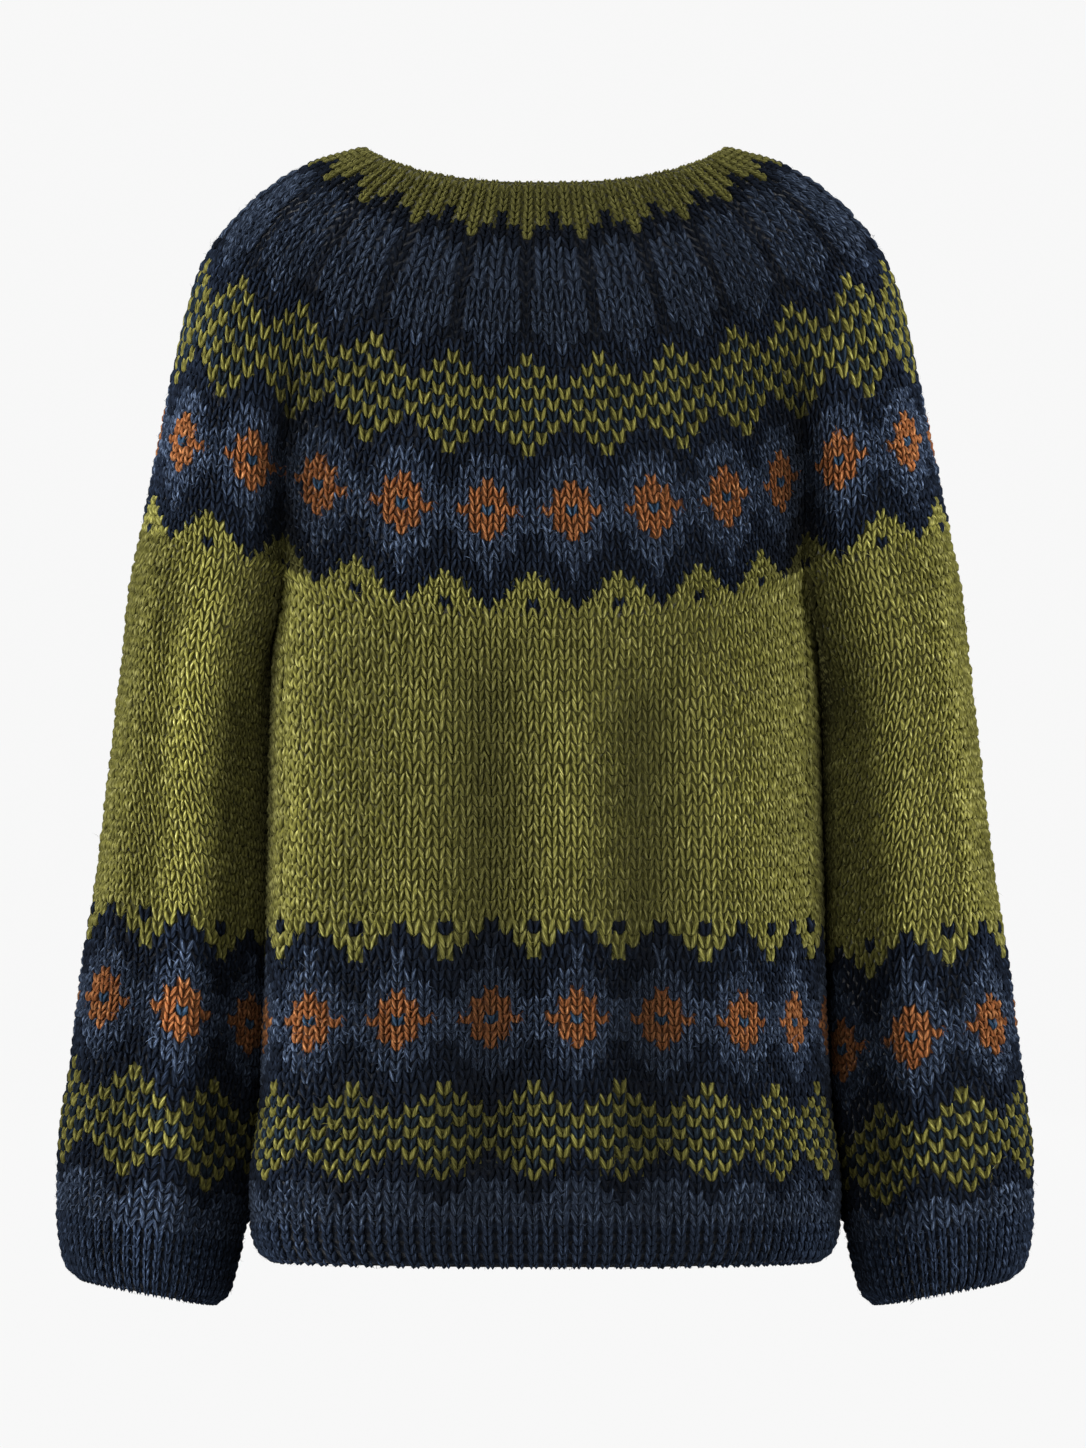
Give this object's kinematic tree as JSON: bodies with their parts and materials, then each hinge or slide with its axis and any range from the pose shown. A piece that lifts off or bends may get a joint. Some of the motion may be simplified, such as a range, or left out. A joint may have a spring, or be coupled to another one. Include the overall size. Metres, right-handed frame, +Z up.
{
  "type": "fair isle jumper",
  "caption": "Round-yoke fair isle jumper in brushed wool, hollow and in its worn form, with long sleeves, a wide neck and ribbed hem and cuffs.",
  "frame": {"origin": "middle of the neck opening, level with the top of the shoulders, where the wearer's neck holds the jumper up", "axes": "+Z up along the wearer's body, +X to the wearer's right-hand side as seen from the back, +Y towards the wearer's front; the back faces -Y"},
  "size_m": [0.5634, 0.2366, 0.6643],
  "materials": {
    "olive_wool": "brushed marl knit",
    "yellow_olive_wool": "brushed marl knit",
    "dark_navy_wool": "brushed marl knit",
    "light_navy_wool": "brushed marl knit",
    "rust_wool": "brushed marl knit",
    "steel_blue_wool": "brushed marl knit"
  },
  "bodies": {
    "root": {"neckband": "olive_wool", "yoke": "light_navy_wool", "body": "olive_wool", "hem_band": "dark_navy_wool", "sleeve_left": "olive_wool", "sleeve_right": "olive_wool", "cuff_left": "dark_navy_wool", "cuff_right": "dark_navy_wool"}
  },
  "joints": []
}
